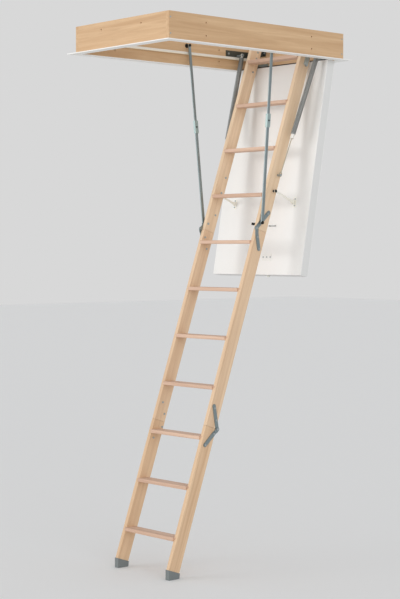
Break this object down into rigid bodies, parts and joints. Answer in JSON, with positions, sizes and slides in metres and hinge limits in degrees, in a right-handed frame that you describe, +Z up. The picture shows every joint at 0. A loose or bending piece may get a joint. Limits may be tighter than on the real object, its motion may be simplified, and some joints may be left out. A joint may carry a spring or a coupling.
{
  "type": "attic ladder",
  "caption": "Folding wooden attic ladder in three sections with an insulated hatch, ceiling frame, folding stays and springs.",
  "frame": {"origin": "on the ceiling face of the white trim, in the middle of the strip that overhangs the hinged end of the frame", "axes": "+Z up, +X across the ladder along its treads, +Y towards the hinged end of the frame; the ladder runs down towards -Y"},
  "size_m": [0.76, 1.215, 2.65],
  "materials": {
    "frame_wood": "planed pine",
    "stile_wood": "planed beech",
    "tread_wood": "planed beech",
    "trim": "white painted board",
    "hatch_skin": "white painted fibreboard",
    "insulation": "rigid foam",
    "seal": "soft cream",
    "foot_plastic": "moulded",
    "spring_wire": "blued wire",
    "spring_fitting": "zinc plated",
    "link_steel": "zinc plated",
    "fastener_steel": "zinc plated",
    "clip_steel": "spring steel",
    "latch_metal": "zinc plated",
    "zinc_steel": "zinc plated sheet"
  },
  "bodies": {
    "frame": {"ceiling_trim": "trim", "end_board_hinge_end": "frame_wood", "end_board_latch_end": "frame_wood", "side_board_left": "frame_wood", "side_board_right": "frame_wood", "frame_screws": "fastener_steel", "hatch_hinge_frame_leaves": "zinc_steel", "hatch_hinge_pins": "fastener_steel", "hatch_seal": "seal", "stop_bead": "trim", "ladder_pivot_pins": "fastener_steel", "pivot_brackets": "zinc_steel", "spring_posts": "zinc_steel", "stay_anchors": "zinc_steel"},
    "hatch": {"hatch_attic_skin": "hatch_skin", "hatch_room_skin": "hatch_skin", "hatch_rails": "frame_wood", "hatch_insulation": "insulation", "hatch_hinge_hatch_leaves": "zinc_steel", "latch_cover": "latch_metal", "hatch_screws": "fastener_steel", "link_brackets": "link_steel", "pole_clips": "clip_steel"},
    "latch_key": {"latch_key_socket": "latch_metal"},
    "latch_tongue": {"latch_tongue": "latch_metal"},
    "upper_section": {"upper_stile_left": "stile_wood", "upper_stile_right": "stile_wood", "upper_treads": "tread_wood", "stile_top_plates": "zinc_steel", "upper_fold_upper_leaves": "zinc_steel", "upper_fold_pins": "fastener_steel", "upper_section_bolts": "fastener_steel"},
    "middle_section": {"middle_stile_left": "stile_wood", "middle_stile_right": "stile_wood", "middle_treads": "tread_wood", "upper_fold_middle_leaves": "zinc_steel", "lower_fold_middle_leaves": "zinc_steel", "lower_fold_pins": "fastener_steel", "middle_section_bolts": "fastener_steel"},
    "lower_section": {"lower_stile_left": "stile_wood", "lower_stile_right": "stile_wood", "lower_treads": "tread_wood", "lower_fold_lower_leaves": "zinc_steel", "lower_section_bolts": "fastener_steel", "foot_caps": "foot_plastic"},
    "stay_upper_left": {"stay_upper_left": "zinc_steel"},
    "stay_lower_left": {"stay_lower_left": "zinc_steel", "knee_sleeve_left": "zinc_steel", "stay_pins_left": "fastener_steel"},
    "spring_left": {"spring_coil_left": "spring_wire", "spring_ends_left": "spring_fitting"},
    "link_left": {"hatch_link_left": "link_steel"},
    "stay_upper_right": {"stay_upper_right": "zinc_steel"},
    "stay_lower_right": {"stay_lower_right": "zinc_steel", "knee_sleeve_right": "zinc_steel", "stay_pins_right": "fastener_steel"},
    "spring_right": {"spring_coil_right": "spring_wire", "spring_ends_right": "spring_fitting"},
    "link_right": {"hatch_link_right": "link_steel"}
  },
  "joints": [
    {"name": "ladder_swing", "type": "hinge", "parent": "frame", "child": "upper_section", "pos_m": [0, -0.1, 0.08], "axis": [-1, 0, 0], "range_deg": [0, 62.5]},
    {"name": "hatch_swing", "type": "hinge", "parent": "frame", "child": "hatch", "pos_m": [0, -0.041, -0.006], "axis": [-1, 0, 0], "range_deg": [0, 66.59]},
    {"name": "section_fold", "type": "hinge", "parent": "upper_section", "child": "middle_section", "pos_m": [0, -0.48143, -0.85012], "axis": [-1, 0, 0], "range_deg": [0, 180]},
    {"name": "lower_fold", "type": "hinge", "parent": "middle_section", "child": "lower_section", "pos_m": [0, -0.74123, -1.82623], "axis": [1, 0, 0], "range_deg": [0, 180.02]},
    {"name": "stay_anchor_pivot_left", "type": "hinge", "parent": "frame", "child": "stay_upper_left", "pos_m": [-0.308, -0.47, 0.098], "axis": [-1, 0, 0], "range_deg": [0, 133.96]},
    {"name": "stay_knee_left", "type": "hinge", "parent": "stay_upper_left", "child": "stay_lower_left", "pos_m": [-0.268, -0.46187, -0.32492], "axis": [1, 0, 0], "range_deg": [0, 98.14]},
    {"name": "spring_pivot_left", "type": "hinge", "parent": "frame", "child": "spring_left", "pos_m": [-0.288, -0.115, 0.074], "axis": [-1, 0, 0], "range_deg": [0, 63.87]},
    {"name": "link_pivot_left", "type": "hinge", "parent": "upper_section", "child": "link_left", "pos_m": [-0.217, -0.36133, -0.66552], "axis": [1, 0, 0], "range_deg": [0, 51.83]},
    {"name": "stay_anchor_pivot_right", "type": "hinge", "parent": "frame", "child": "stay_upper_right", "pos_m": [0.308, -0.47, 0.098], "axis": [-1, 0, 0], "range_deg": [0, 133.96]},
    {"name": "stay_knee_right", "type": "hinge", "parent": "stay_upper_right", "child": "stay_lower_right", "pos_m": [0.268, -0.46187, -0.32492], "axis": [1, 0, 0], "range_deg": [0, 98.14]},
    {"name": "spring_pivot_right", "type": "hinge", "parent": "frame", "child": "spring_right", "pos_m": [0.288, -0.115, 0.074], "axis": [-1, 0, 0], "range_deg": [0, 63.87]},
    {"name": "link_pivot_right", "type": "hinge", "parent": "upper_section", "child": "link_right", "pos_m": [0.217, -0.36133, -0.66552], "axis": [1, 0, 0], "range_deg": [0, 51.83]},
    {"name": "tongue_slide", "type": "slide", "parent": "hatch", "child": "latch_tongue", "axis": [0, 0.1736, 0.9848], "range_m": [0, 0.01]},
    {"name": "latch_turn", "type": "hinge", "parent": "hatch", "child": "latch_key", "pos_m": [0.068, -0.22316, -1.00454], "axis": [0, -0.9848, 0.1736], "range_deg": [0, 90.01]}
  ],
  "couplings": [
    {"joint": "hatch_swing", "follows": "ladder_swing", "ratio": 1.0652},
    {"joint": "lower_fold", "follows": "section_fold", "ratio": 1},
    {"joint": "stay_anchor_pivot_left", "follows": "ladder_swing", "ratio": 2.1426},
    {"joint": "stay_knee_left", "follows": "ladder_swing", "ratio": 1.5695},
    {"joint": "spring_pivot_left", "follows": "ladder_swing", "ratio": 1.0211},
    {"joint": "link_pivot_left", "follows": "ladder_swing", "ratio": 0.82843},
    {"joint": "stay_anchor_pivot_right", "follows": "ladder_swing", "ratio": 2.1426},
    {"joint": "stay_knee_right", "follows": "ladder_swing", "ratio": 1.5695},
    {"joint": "spring_pivot_right", "follows": "ladder_swing", "ratio": 1.0211},
    {"joint": "link_pivot_right", "follows": "ladder_swing", "ratio": 0.82843},
    {"joint": "latch_turn", "follows": "tongue_slide", "rad_per_m": 157.08}
  ]
}
